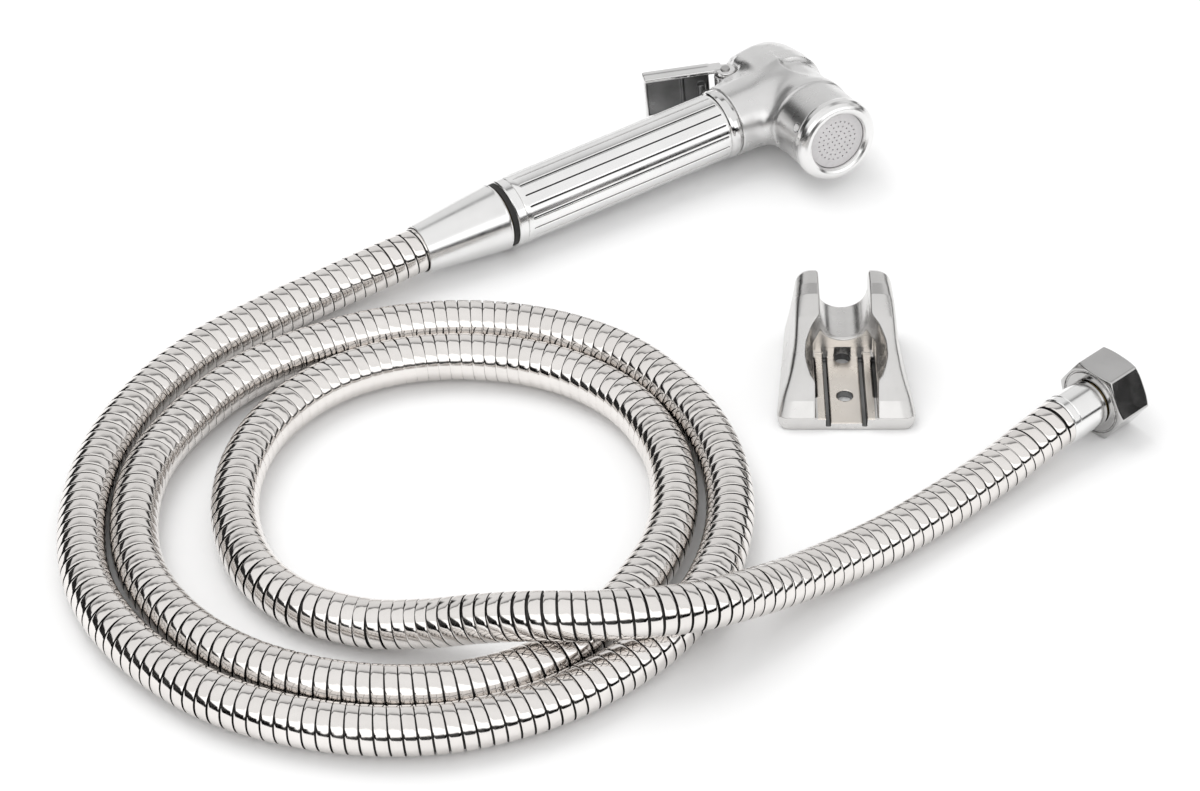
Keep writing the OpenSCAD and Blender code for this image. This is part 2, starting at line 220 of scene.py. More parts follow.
def rounded(profile, radius, steps=4):
    """A closed outline of (along, out) or (along, out, corner radius) with its corners rounded.

    Returns its points and the normal at each."""
    points, normals = [], []
    corners = [np.array(p[:2], float) for p in profile]
    radii = [p[2] if len(p) > 2 else radius for p in profile]
    area = sum(a[0] * b[1] - a[1] * b[0] for a, b in zip(corners, corners[1:] + corners[:1]))
    if area < 0:
        corners.reverse()
        radii.reverse()
    count = len(corners)
    for i, corner in enumerate(corners):
        before = corners[i - 1] - corner
        after = corners[(i + 1) % count] - corner
        len_b, len_a = np.linalg.norm(before), np.linalg.norm(after)
        before, after = before / len_b, after / len_a
        normal_in = np.array((-before[1], before[0]))
        normal_out = np.array((after[1], -after[0]))
        half = math.acos(max(-1.0, min(1.0, float(before @ after)))) / 2
        back = min(radii[i] / math.tan(half) if half > 0.01 else 0.0, 0.45 * len_b, 0.45 * len_a)
        for s in np.linspace(0.0, 1.0, steps + 1):
            a, b = corner + before * back, corner + after * back
            points.append((1 - s) ** 2 * a + 2 * s * (1 - s) * corner + s * s * b)
            n = (1 - s) * normal_in + s * normal_out
            normals.append(n / (np.linalg.norm(n) + 1e-12))
    return np.array(points), np.array(normals)


def lathe(name, m, profile, radius=0.25, segments=96, steps=4):
    """A closed outline turned round the X axis of the frame m."""
    outline, slope = rounded(profile, radius, steps)
    angle = np.linspace(0, 2 * math.pi, segments, endpoint=False)
    cos, sin = np.cos(angle)[:, None], np.sin(angle)[:, None]
    along = np.broadcast_to(outline[:, 0], (segments, len(outline)))
    points = np.stack([along, cos * outline[:, 1], sin * outline[:, 1]], -1).reshape(-1, 3)
    along = np.broadcast_to(slope[:, 0], (segments, len(outline)))
    normals = np.stack([along, cos * slope[:, 1], sin * slope[:, 1]], -1).reshape(-1, 3)
    k, j = np.meshgrid(np.arange(segments), np.arange(len(outline)), indexing="ij")
    k2, j2 = (k + 1) % segments, (j + 1) % len(outline)
    n = len(outline)
    quads = np.stack([k * n + j, k * n + j2, k2 * n + j2, k2 * n + j], -1).reshape(-1, 4)
    return quad_mesh(name, place(m, points), quads, normals @ m[:3, :3].T)


# Distance fields, in millimetres, negative inside.
def smin(a, b, k):
    h = np.maximum(k - np.abs(a - b), 0.0) / k
    return np.minimum(a, b) - h * h * k * 0.25


def smax(a, b, k):
    return -smin(-a, -b, k)


def cut(a, b, k):
    return smax(a, -b, k)


def outline_field(p, q, corners):
    best = np.full(p.shape, 1e12)
    inside = np.zeros(p.shape, bool)
    for (ax, ay), (bx, by) in zip(corners, corners[1:] + corners[:1]):
        ex, ey = bx - ax, by - ay
        t = np.clip(((p - ax) * ex + (q - ay) * ey) / (ex * ex + ey * ey), 0, 1)
        best = np.minimum(best, (p - ax - ex * t) ** 2 + (q - ay - ey * t) ** 2)
        if ey:
            inside ^= ((ay > q) != (by > q)) & (p < ex * (q - ay) / ey + ax)
    return np.where(inside, -1.0, 1.0) * np.sqrt(best)


def rod(a, b, along, radius, low, high, k=0.3):
    """A capped cylinder: a and b are the coordinates across it."""
    return smax(np.hypot(a, b) - radius, np.abs(along - (low + high) / 2) - (high - low) / 2, k)


def box_field(p, low, high, k=0.6):
    mid = (np.array(low) + np.array(high)) / 2
    half = (np.array(high) - np.array(low)) / 2
    d = np.abs(p - mid) - half
    return smax(smax(d[:, 0], d[:, 1], k), d[:, 2], k)


def smooth(t):
    t = np.clip(t, 0, 1)
    return t * t * (3 - 2 * t)


def gradient(field, points, h=0.03):
    out = np.empty_like(points)
    for axis in range(3):
        step = np.zeros(3)
        step[axis] = h
        out[:, axis] = (field(points + step) - field(points - step)) / (2 * h)
    return out


def net(name, field, low, high, step, m):
    """Surface net of a field, drawn onto the surface, with the field's own normals."""
    counts = [int(math.ceil((high[a] - low[a]) / step)) + 1 for a in range(3)]
    axes = [low[a] + step * np.arange(counts[a]) for a in range(3)]
    grid = np.stack(np.meshgrid(*axes, indexing="ij"), -1)
    value = field(grid.reshape(-1, 3)).reshape(counts)
    cells = [c - 1 for c in counts]
    total = np.zeros(cells + [3])
    number = np.zeros(cells)
    edges = []
    for a in range(3):
        b, c = [x for x in range(3) if x != a]
        lower, upper = [slice(None)] * 3, [slice(None)] * 3
        lower[a], upper[a] = slice(0, -1), slice(1, None)
        f0, f1 = value[tuple(lower)], value[tuple(upper)]
        crossing = (f0 < 0) != (f1 < 0)
        t = np.where(crossing, f0 / np.where(crossing, f0 - f1, 1.0), 0.0)
        spot = grid[tuple(lower)].copy()
        spot[..., a] += t * step
        spot *= crossing[..., None]
        for db in (0, 1):
            for dc in (0, 1):
                part = [slice(None)] * 3
                part[b] = slice(db, counts[b] - 1 + db)
                part[c] = slice(dc, counts[c] - 1 + dc)
                total += spot[tuple(part)]
                number += crossing[tuple(part)]
        edges.append((a, b, c, crossing, f0 < 0))
    active = number > 0
    index = np.full(cells, -1)
    index[active] = np.arange(int(active.sum()))
    points = total[active] / number[active][:, None]
    quads = []
    for a, b, c, crossing, starts_inside in edges:
        where = np.argwhere(crossing)
        keep = ((where[:, b] > 0) & (where[:, b] < counts[b] - 1)
                & (where[:, c] > 0) & (where[:, c] < counts[c] - 1))
        where = where[keep]
        flip = starts_inside[tuple(where.T)]
        if a == 1:
            flip = ~flip
        ring = []
        for db, dc in ((1, 1), (0, 1), (0, 0), (1, 0)):
            cell = where.copy()
            cell[:, b] -= db
            cell[:, c] -= dc
            ring.append(index[tuple(cell.T)])
        quad = np.stack(ring, -1)
        quad[~flip] = quad[~flip][:, ::-1]
        quads.append(quad)
    start = points.copy()
    for _ in range(4):
        slope = gradient(field, points)
        steep = np.maximum((slope ** 2).sum(1), 0.05)[:, None]
        points = points - field(points)[:, None] * slope / steep
        points = start + np.clip(points - start, -step, step)
    normals = gradient(field, points, 0.06)
    normals /= np.linalg.norm(normals, axis=1)[:, None] + 1e-12
    return quad_mesh(name, place(m, points), np.concatenate(quads), normals @ m[:3, :3].T)


# ---------------------------------------------------------------- hose (the cord)
ROUTE = [
    (-138, 56.2, 11.5), (-150, 48.7, 10.8), (-168, 38, 9), (-190, 23, 7.9), (-210, 6, 7.8),
    (-226, -15, 7.8), (-236.5, -38, 7.8), (-241.5, -60, 7.8), (-242, -82, 7.8), (-238, -104, 7.8),
    (-228, -124, 7.8), (-213, -141, 7.8), (-194, -155, 7.8), (-171, -164, 7.8), (-147, -168, 7.8),
    (-123, -166.5, 7.8), (-100, -159, 7.8), (-80, -147, 7.8), (-63, -131.5, 7.8), (-50, -113, 7.8),
    (-42, -92, 7.8), (-39, -69, 7.8), (-42, -45, 7.8), (-52, -21, 7.8), (-70, 1, 7.8),
    (-93, 14, 7.8), (-119, 19.5, 7.8), (-146, 17.5, 7.8), (-171, 8.5, 7.8), (-194, -6, 7.8),
    (-211, -26, 7.8), (-223, -50, 7.8), (-226, -76, 7.8), (-221, -101, 7.8), (-207, -123, 7.8),
    (-187, -139, 7.8), (-162, -148.5, 7.8), (-136, -151, 7.8), (-113, -147, 7.8), (-94, -137, 7.8),
    (-79, -122, 7.8), (-68, -105, 7.8), (-59.5, -86, 7.8), (-56.5, -65, 7.8), (-60, -42, 7.8),
    (-73, -19, 7.8), (-95, -3.5, 7.8), (-122, 2.5, 7.8), (-148, -0.5, 7.8), (-170, -12, 7.8),
    (-186, -31, 7.8), (-194, -54, 7.8), (-194, -78, 7.8), (-186, -100, 7.8), (-171, -115, 7.8),
    (-151, -123, 8.3), (-133, -126.5, 11.5), (-116, -131, 18), (-99, -135.5, 23.5),
    (-82, -137, 25), (-65, -135, 24.5), (-49, -129, 21.5), (-34, -119, 17), (-20, -108, 12.5),
    (-5, -96, 9.3), (12, -83, 7.8), (30, -68, 7.8), (47, -53, 8.6), (58, -43, 10.6), (67, -35, 12)]
HOSE_R = 7.7
PITCH = 4.1
# Section of one wound band: distance along the hose, and depth below its outer radius.
BAND = ((-1.85, 0.80), (-1.84, 0.17), (-1.59, 0.075), (-1.23, 0.015), (0.0, 0.0), (1.23, 0.015),
        (1.59, 0.075), (1.84, 0.17), (1.85, 0.80))
BAND_SEGMENTS = 40
GROOVE_STARTS = 0.30
WELD = 0.000004
FLAT_WITHIN = 0.000003
END_REACH = 0.01
CENTRE_SAMPLES = 3000
BLOCK = 4000


def hose_centre():
    """Even samples of one smooth curve through the route, with its directions."""
    way = place(np.block([[HANDSET[:3, :3], np.zeros((3, 1))], [np.zeros((1, 3)), 1]]),
                np.array([[-1.0, 0, 0]]))[0]
    out = TAP_END[:3, 0]
    knots = np.array(ROUTE, float)
    first = np.linalg.norm(knots[1] - knots[0])
    final = np.linalg.norm(knots[-1] - knots[-2])
    knots = np.vstack([knots[1] - way * 2 * first, knots, knots[-2] + out * 2 * final])
    pieces = []
    for i in range(1, len(knots) - 2):
        a, b, c, d = knots[i - 1:i + 3]
        t = np.linspace(0, 1, 24, endpoint=False)[:, None]
        pieces.append(0.5 * (2 * b + (c - a) * t + (2 * a - 5 * b + 4 * c - d) * t ** 2
                             + (3 * b - a - 3 * c + d) * t ** 3))
    curve = np.vstack(pieces + [knots[-2:-1]])
    length = np.concatenate([[0], np.cumsum(np.linalg.norm(np.diff(curve, axis=0), axis=1))])
    even = np.linspace(0, length[-1], CENTRE_SAMPLES)
    centre = np.stack([np.interp(even, length, curve[:, a]) for a in range(3)], -1)
    ahead = np.gradient(centre, axis=0)
    ahead[0], ahead[-1] = way, out
    ahead /= np.linalg.norm(ahead, axis=1)[:, None]
    return even, centre, ahead


def close_end(bm, spot, way):
    """Drop the strip's leftovers in one end plane and close that end with a fan."""
    def in_plane(vert):
        gap = vert.co - spot
        return abs(gap.dot(way)) < FLAT_WITHIN and gap.length < END_REACH

    flat = [f for f in bm.faces if all(in_plane(v) for v in f.verts)]
    bmesh.ops.delete(bm, geom=flat, context="FACES")
    rim = [e for e in bm.edges if e.is_boundary and in_plane(e.verts[0]) and in_plane(e.verts[1])]
    hub = bm.verts.new(spot)
    for edge in rim:
        one, two = edge.verts
        loop = edge.link_loops[0]
        if loop.vert is one:
            one, two = two, one
        bm.faces.new((one, two, hub))


def make_hose():
    even, centre, ahead = hose_centre()
    total = float(even[-1])
    turns = int(total / PITCH) + 3
    steps = np.arange(turns * BAND_SEGMENTS)
    s = (steps / BAND_SEGMENTS - 1.5) * PITCH
    s_on = np.clip(s, 0, total)
    mid = np.stack([np.interp(s_on, even, centre[:, a]) for a in range(3)], -1)
    t = np.stack([np.interp(s_on, even, ahead[:, a]) for a in range(3)], -1)
    t /= np.linalg.norm(t, axis=1)[:, None]
    side = np.cross([0.0, 0.0, 1.0], t)
    side /= np.linalg.norm(side, axis=1)[:, None]
    up = np.cross(t, side)
    theta = 2 * math.pi * (steps % BAND_SEGMENTS) / BAND_SEGMENTS
    spoke = np.cos(theta)[:, None] * side + np.sin(theta)[:, None] * up
    rows = []
    for along, depth in BAND:
        shift = np.clip(s + along, 0, total) - s_on
        rows.append(mid + shift[:, None] * t + (HOSE_R - depth) * spoke)
    points = np.stack(rows, 1).reshape(-1, 3)
    n = len(BAND)
    i, j = np.meshgrid(np.arange(len(steps) - 1), np.arange(n - 1), indexing="ij")
    band = np.stack([i * n + j, i * n + j + 1, (i + 1) * n + j + 1, (i + 1) * n + j], -1)
    band = band.reshape(-1, 4)
    i = np.arange(len(steps) - 1 - BAND_SEGMENTS)
    after = i + BAND_SEGMENTS
    floor = np.stack([i * n + n - 1, after * n, (after + 1) * n, (i + 1) * n + n - 1], -1)
    mesh = quad_mesh("hose_wound", points, np.concatenate([band, floor])[:, ::-1], None, None)
    bm = bmesh.new()
    bm.from_mesh(mesh)
    bmesh.ops.remove_doubles(bm, verts=bm.verts, dist=WELD)
    bmesh.ops.dissolve_degenerate(bm, edges=bm.edges, dist=WELD)
    for end, way in ((0, ahead[0]), (-1, ahead[-1])):
        close_end(bm, Vector(centre[end] * MM), Vector(way))
    bm.to_mesh(mesh)
    bm.free()
    mesh.shade_smooth()
    mesh.set_sharp_from_angle(angle=math.radians(50))
    return mesh, total, centre


hose_mesh, HOSE_LENGTH, HOSE_PATH = make_hose()
hose = piece("hose_wound", hose_mesh, [HOSE_METAL, RECESS_SHADE], "handset", ["hose"])


def mark_hose_grooves():
    """The walls and floor of the winding's groove take the near-black painted shade, a stand-in
    for the shade deep in the narrow groove.
    """
    count = len(hose_mesh.polygons)
    middle = np.empty(count * 3, np.float32)
    hose_mesh.polygons.foreach_get("center", middle)
    middle = middle.reshape(-1, 3) / MM
    nearest = np.full(count, 1e9)
    for start in range(0, count, BLOCK):
        block = middle[start:start + BLOCK]
        gap = ((block[:, None, :] - HOSE_PATH[None, ::3, :]) ** 2).sum(-1)
        nearest[start:start + BLOCK] = np.sqrt(gap.min(1))
    dark = (nearest < HOSE_R - GROOVE_STARTS).astype(np.int32)
    hose_mesh.polygons.foreach_set("material_index", dark)


mark_hose_grooves()

# ---------------------------------------------------------------- turned pieces
sleeve_b = piece("hose_ferrule", lathe("hose_ferrule", TAP_END, [
    (0, 5.5), (0, 7.75, 0.1), (0.35, 8.1, 0.1), (2.3, 8.1, 0.05), (2.5, 7.9, 0.05),
    (2.9, 7.9, 0.05), (3.1, 8.1, 0.05), (14.2, 8.1), (14.5, 7.9, 0.1), (14.5, 5.5)]),
    [CHROME_GRIP], "handset", ["hose_sleeve_b"])

piece("hose_cone_nut", lathe("hose_cone_nut", HANDSET, [
    (-4, 8.0, 0.1), (-4, 8.5, 0.3), (26.0, 11.79, 0.4), (26.3, 11.9, 0.2), (26.9, 11.7, 0.3),
    (27, 10.48, 0.15), (21.4, 10.48, 0.1), (21.4, 9.6, 0.1), (18.35, 9.6, 0.1),
    (18.35, 8.0, 0.1)]),
    [CHROME_SOFT], "tail_nut", ["cone_nut"])

piece("grip_tail_collar", lathe("grip_tail_collar", HANDSET, [
    (29.4, 10.3, 0.1), (29.4, 11.6, 0.2), (29.8, 12.0, 0.3), (32.75, 12.0, 0.1), (33, 11.7, 0.1),
    (33, 10.3, 0.1)]), [CHROME_GRIP], "handset", ["tail_collar"])

piece("neck_bead_collar", lathe("neck_bead_collar", HANDSET, [
    (116, 7.0, 0.1), (116, 11.7, 0.2), (116.5, 12.3, 0.5), (117.5, 12.6, 0.9), (119.1, 12.6, 0.9),
    (120.0, 12.35, 0.4), (NECK_X, 12.0, 0.2), (NECK_X, 7.0, 0.1)], steps=6),
    [CHROME], "handset", ["neck_collar"])

piece("spray_face_bezel", lathe("spray_face_bezel", SPRAY_LATHE, [
    (FACE - 8.5, 7.5, 0.1), (FACE - 8.5, 11.55, 0.1), (FACE - 5, 11.55, 0.1),
    (FACE - 5, 14.9, 0.15), (FACE - 4.2, 15.1, 0.3), (FACE - 2.6, 15.1, 0.9),
    (FACE - 1.2, 14.7, 0.9), (FACE - 0.2, 13.9, 0.9), (FACE + 0.3, 12.9, 0.6),
    (FACE + 0.3, 11.9, 0.6), (FACE - 0.2, 11.0, 0.5), (FACE - 1.1, 10.5, 0.5),
    (FACE - 5.8, 10.5, 0.1), (FACE - 5.8, 7.5, 0.1)], steps=6, segments=128),
    [CHROME_SOFT], "handset", ["face_bezel"])


# ---------------------------------------------------------------- grip sleeve
def make_grip():
    """A tube with eighteen flat facets and a fine groove between each two."""
    facets, edge, wide = 18, 12.0, math.radians(20)
    groove = 0.21 / edge
    half = [(0.5 * wide - 1.9 * groove, edge - 0.01), (0.5 * wide - 1.25 * groove, edge - 0.06),
            (0.5 * wide - groove, edge - 0.35), (0.5 * wide - 0.6 * groove, edge - 0.6)]
    section = [(-at, r) for at, r in reversed(half)]
    section += [(-0.25 * wide, edge - 0.02), (0.0, edge - 0.03), (0.25 * wide, edge - 0.02)] + half
    angles = np.concatenate([[at + k * wide for at, _ in section] for k in range(facets)])
    fluted = np.tile([r for _, r in section], facets)
    plain = np.full(len(angles), edge)
    fading = 0.7 * plain + 0.3 * fluted
    rings = [(33.0, plain - 2.0), (33.0, plain - 0.25), (33.1, plain - 0.08), (33.3, plain),
             (34.9, plain), (35.15, fading), (35.5, fluted), (36.5, fluted), (60.0, fluted),
             (90.0, fluted), (113.8, fluted), (114.6, fluted), (114.95, fading),
             (115.2, plain), (115.75, plain), (115.95, plain - 0.1), (116.0, plain - 0.25),
             (116.0, plain - 2.0)]
    count, n = len(angles), len(rings)
    points = np.stack([np.stack([np.full(count, x), r * np.cos(angles), r * np.sin(angles)], -1)
                       for x, r in rings]).reshape(-1, 3)
    i, k = np.meshgrid(np.arange(n), np.arange(count), indexing="ij")
    i2, k2 = (i + 1) % n, (k + 1) % count
    quads = np.stack([i * count + k, i2 * count + k, i2 * count + k2, i * count + k2], -1)
    quads = quads.reshape(-1, 4)[:, ::-1]
    return quad_mesh("grip_fluted_sleeve", place(HANDSET, points), quads, None, 28)


grip_mesh = make_grip()
piece("grip_fluted_sleeve", grip_mesh, [CHROME_GRIP, RECESS_SHADE], "handset", ["grip_sleeve"])
# The grip's groove walls and bottoms take the near-black painted shade.
for polygon in grip_mesh.polygons:
    spot = unplace(HANDSET, np.array(polygon.center) / MM)
    if 35.3 < spot[0] < 114.8 and 11.3 < math.hypot(spot[1], spot[2]) < 11.75:
        polygon.material_index = 1


# ---------------------------------------------------------------- spray head
HEAD_BACK = [(0, -26), (3.5, -25.6), (7, -24.4), (10, -22), (12.2, -19), (13.4, -15), (14, -11),
             (14.3, -7), (14.2, -2)]
HEAD_BACK += [(-r, out) for r, out in reversed(HEAD_BACK[1:])]
ROOT_FILL = SPRAY_LOCAL @ move(2.4, 0, -6) @ turn("Y", -4.5)
FLOOR_GAP = 0.05


def along_screw(across, up):
    """Distance along the bezel screw from the spray axis, and distance to its side."""
    cos, sin = math.cos(SCREW_TURN), math.sin(SCREW_TURN)
    return across * cos + up * sin, -across * sin + up * cos


def head_field(p):
    x, y, z = p[:, 0], p[:, 1], p[:, 2]
    q = unplace(SPRAY_LOCAL, p)
    out, across = q[:, 2], np.hypot(q[:, 0], q[:, 1])
    neck = np.hypot(y, z) - (12.5 + 0.9 * (x - NECK_X) / 22.9)
    neck = smax(neck, np.abs(x - 131.95) - 11.45, 0.5)
    wall = 10.9 + 3.4 * smooth((out - 7.0) / 9.5) + 0.4 * np.clip((out - 17) / 15.3, 0, 1)
    barrel = smax((across - wall) * 0.93, np.abs(out - 12.15) - 20.15, 0.35)
    back = outline_field(np.hypot(q[:, 0] - 1.6, q[:, 1]), out, HEAD_BACK)
    r = unplace(ROOT_FILL, p)
    fill = np.hypot(r[:, 0], r[:, 1]) - (12.2 + 1.4 * r[:, 2] / 23)
    fill = smax(fill, np.abs(r[:, 2] - 11.5) - 11.5, 0.5)
    body = smin(smin(smin(back, fill, 3.0), barrel, 3.0), neck, 7.0)
    px, py = PIVOT
    lug = [(NECK_X, 3), (NECK_X, 9.5), (px - 3.5, 13.5), (px - 2, py), (px, 21.6),
           (px + 6, 21.6), (px + 6, 3)]
    lug = smax(outline_field(x, y, lug), np.abs(z) - 8, 1.0)
    boss = rod(x - px, y - py, z, 4.2, -8, 8, 0.5)
    block = [(4, 3), (4, 19.5), (5.6, 21.9), (10, 23), (15, 22), (20, 17), (24, 10), (25, 3)]
    block = smax(outline_field(x - px, y, block), np.abs(z) - 10, 2.4)
    broad = [(5, 3), (5, 17), (6.8, 19), (10, 19.8), (14, 19), (18, 15), (20.5, 9), (20.5, 3)]
    broad = smax(outline_field(x - px, y, broad), np.abs(z) - 12.4, 2.8)
    lug = smin(lug, boss, 0.8)
    saddle = [(NECK_X, 3), (NECK_X, 6.5), (px - 4, 11.3), (px, 11.6), (px + 5, 11.6), (px + 5, 3)]
    saddle = smax(outline_field(x, y, saddle), np.abs(z) - 10, 1.6)
    body = smin(smin(smin(body, smin(block, broad, 2.5), 2.2), saddle, 2.0), lug, 1.0)
    body = smax(body, NECK_X - x, 0.4)
    body = smax(body, FLOOR_GAP - place(HANDSET, p)[:, 2], 0.1)
    body = cut(body, rod(x - STEM_X, z, y, 4.2, -9.2, 26), 0.3)
    body = cut(body, rod(y - 4, z, x, 2.4, 118, STEM_X), 0.2)
    body = cut(body, rod(y + 5, z, x, 2.2, STEM_X, HEAD_X - 3), 0.2)
    body = cut(body, rod(x - px, y - py, z, 1.52, -30, 30), 0.2)
    body = cut(body, smax(across - 5, np.abs(out - 9) - 10, 0.2), 0.2)
    body = cut(body, smax(across - 11.6, 18 - out, 0.3), 0.3)
    far, aside = along_screw(q[:, 0], q[:, 1])
    body = cut(body, rod(aside, out - FACE + SCREW_BACK, far, 0.95, 0, 30), 0.15)
    return cut(body, rod(aside, out - FACE + SCREW_BACK, far, 1.55, 13.4, 30), 0.25)


head_mesh = net("spray_head_casting", head_field, (118.5, -35.5, -16.5), (165.5, 27.0, 16.5),
                0.42, HANDSET)
piece("spray_head_casting", head_mesh, [CHROME_HEAD, RECESS_SHADE], "handset", ["head_casting"])
# The bezel screw's hole takes the near-black painted shade.
for polygon in head_mesh.polygons:
    spot = unplace(SPRAY, np.array(polygon.center) / MM)
    far, aside = along_screw(spot[0], spot[1])
    if 12.0 < far < 14.3 and math.hypot(aside, spot[2] - FACE + SCREW_BACK) < 1.72:
        polygon.material_index = 1


# ---------------------------------------------------------------- lever
def lever_field(p):
    x, y, z = p[:, 0], p[:, 1], p[:, 2]
    high = np.abs(z)
    web = box_field(p, (-29, 3.5, -10), (-5.6, 5.3, 10), 0.8)
    side = smax(np.abs(x + 15) - 14, np.abs(y - 2.65) - 2.65, 0.8)
    side = smax(side, np.abs(high - 9.2) - 0.8, 0.5)
    ear = smax(np.hypot(x, y) - 3.6, np.abs(high - 9.2) - 0.8, 0.5)
    whole = smin(smin(web, side, 0.9), ear, 0.6)
    pad = rod(x + 8.6, y - 2.5, z, 1.5, -4, 4, 0.5)
    pad = smin(pad, box_field(p, (-9.2, 2.5, -4), (-8, 4, 4), 0.3), 0.3)
    rib = box_field(p, (-16, 1.8, -9), (-15, 4, 9), 0.4)
    lip = box_field(p, (-29, 1.6, -9.4), (-28.1, 4, 9.4), 0.5)
    whole = smin(smin(smin(whole, pad, 0.3), rib, 0.5), lip, 0.6)
    return cut(whole, rod(x, y, z, 1.55, -15, 15), 0.2)


lever_mesh = net("thumb_lever", lever_field, (-30.2, -4.8, -11.2), (4.8, 6.5, 11.2), 0.34, LEVER)
piece("thumb_lever", lever_mesh, [CHROME, INSIDE_SHADE], "lever_arm", ["lever"])
# The lever's inner faces take the dark painted shade.
for polygon in lever_mesh.polygons:
    spot = unplace(LEVER, np.array(polygon.center) / MM)
    if -28.3 < spot[0] < 3.5 and abs(spot[2]) < 8.5 and spot[1] < 3.7:
        polygon.material_index = 1


# ---------------------------------------------------------------- hex nut
NUT_START, NUT_END, NUT_FLAT, THREAD_BORE = 15.0, 28.5, 12.0, 10.48


def hex_field(p):
    x, y, z = p[:, 0], p[:, 1], p[:, 2]
    across = np.hypot(y, z)
    flats = np.full(x.shape, -1e9)
    for k in range(6):
        a = math.radians(60 * k + 90)
        flats = smax(flats, y * math.cos(a) + z * math.sin(a) - NUT_FLAT, 0.5)
    middle, half = (NUT_START + NUT_END) / 2, (NUT_END - NUT_START) / 2
    body = smax(flats, np.abs(x - middle) - half, 0.5)
    for near in (x - NUT_START, NUT_END - x):
        body = smax(body, (across - NUT_FLAT - 2 * near) * 0.447, 0.3)
    body = cut(body, across - 7.1, 0.3)
    body = cut(body, smax(across - 9.9, np.abs(x - 19.5) - 2.5, 0.2), 0.2)
    body = cut(body, smax(across - THREAD_BORE, 21 - x, 0.2), 0.2)
    groove = np.abs(across - 10.9) - 0.32
    return cut(body, smax(groove, x - (NUT_START + 0.5), 0.1), 0.1)


hex_mesh = net("tap_hex_nut", hex_field, (14, -14.6, -14.6), (29.6, 14.6, 14.6), 0.32, TAP_END)
hex_nut = piece("tap_hex_nut", hex_mesh, [CHROME_NUT], "end_nut", ["hex_nut"])


# ---------------------------------------------------------------- wall holder
HOLDER_SIDE = [(-25, 0), (-25, 5), (-21, 9), (-9, 19), (2, 25.5), (10, 28.5), (15, 29), (21, 29),
               (24, 27), (25, 23), (25, 0)]
HOLDER_SEAT = [(0, -30), (8.2, -30), (8.2, -9), (9.6, -5), (11.6, 0), (12.9, 5), (13.2, 9),
               (12.5, 14), (10.5, 18), (7.5, 21.5), (3, 24), (0, 24)]
HOLDER_SCREWS = (-11.5, 7.5)


def holder_field(p):
    x, y, z = np.abs(p[:, 0]), p[:, 1], p[:, 2]
    t = np.clip((y + 25) / 50, 0, 1)
    foot = 23 - 4.5 * t
    top = 18 - 3 * t
    low = 4 - 2 * t
    lean = np.clip((z - low) / (29 - low), 0, 1)
    half = foot + (top - foot) * lean
    hollow = (smooth((z - 3.5) / 8) * smooth((26.5 - z) / 9)
              * smooth((y + 22) / 12) * smooth((25 - y) / 12))
    bend = outline_field(y, z, HOLDER_SIDE)
    body = smax(bend, (x - half + hollow) * 0.97, 5.0)
    body = smax(body, -z, 0.3)
    seat = outline_field(np.hypot(x, z - 19), -y, HOLDER_SEAT)
    seat = smin(seat, smax(x - 8.2, 19 - z, 0.3), 0.8)
    body = cut(body, seat, 1.2)
    channel = smax(smax(x - 10.2, np.abs(z - 9.6) - 5, 0.6), y - 8, 0.6)
    body = cut(body, channel, 0.5)
    strip = smax(smax(x - 6.6, np.abs(z - 5) - 2, 0.2), y - 8, 0.3)
    body = cut(body, strip, 0.3)
    line = smax(smax(np.abs(x - 5.9) - 0.7, np.abs(z - 3.6) - 2, 0.2), y - 8, 0.3)
    body = cut(body, line, 0.25)
    under = smax(np.abs(x - 10.8) - 1.5, np.abs(z - 5.75) - 2.75, 0.5)
    body = cut(body, smax(under, np.abs(y + 4) - 10, 0.8), 0.5)
    for at in HOLDER_SCREWS:
        hole = np.hypot(p[:, 0], y - at) - 2.6
        body = cut(body, smax(hole, z - 7, 0.2), 0.25)
    return body


holder_mesh = net("wall_holder_body", holder_field, (-24.2, -26.2, -1.2), (24.2, 26.2, 30.2), 0.42,
                  np.eye(4))
piece("wall_holder_body", holder_mesh, [CHROME_HOLDER, PLATE_STRIP, INSIDE_SHADE], "holder",
      ["wall_holder"])
# Strip and shoulder floors take the satin plate; the line groove, the undercut and the screw holes
# take the dark painted shade.
for polygon in holder_mesh.polygons:
    middle = polygon.center / MM
    aside = abs(middle.x)
    to_hole = min(math.hypot(middle.x, middle.y - at) for at in HOLDER_SCREWS)
    strip = aside < 5.1 and 2.0 < middle.z < 3.4
    shoulder = 6.7 < aside < 9.2 and 4.0 < middle.z < 4.9
    line = 5.1 < aside < 6.7 and 1.4 < middle.z < 2.9
    undercut = 9.3 < aside < 12.6 and 2.9 < middle.z < 8.6 and -14.2 < middle.y < 6.2
    screw_hole = 0.2 < middle.z < 2.8 and to_hole < 2.75
    if polygon.normal.z > 0.6 and (strip or shoulder):
        polygon.material_index = 1
    elif line or undercut or screw_hole:
        polygon.material_index = 2

# ---------------------------------------------------------------- carried-over CAD nodes
FINISH = {
    "hose_sleeve_a": CHROME_GRIP, "hose_nipple_a": BRASS, "inlet_washer": RUBBER,
    "inlet_spigot": BRASS, "tail_ring": RUBBER, "water_tube": BRASS,
    "grip_core": WHITE_PLASTIC, "flow_disc": WHITE_PLASTIC, "plate_seal": RUBBER,
    "spray_plate": SPRAY_GREY, "bezel_screw": CHROME, "lever_pin": STEEL,
    "valve_stem": STEEL, "valve_seal": RUBBER, "valve_seat": BRASS, "valve_spring": STEEL,
    "valve_bonnet": STEEL, "stem_o_ring": RUBBER, "hose_nipple_b": BRASS, "nut_washer": RUBBER}
for node_name, finish in FINISH.items():
    node_mesh = NODES[node_name].data
    for index in range(len(node_mesh.materials)):
        node_mesh.materials[index] = finish
    if not node_mesh.materials:
        node_mesh.materials.append(finish)


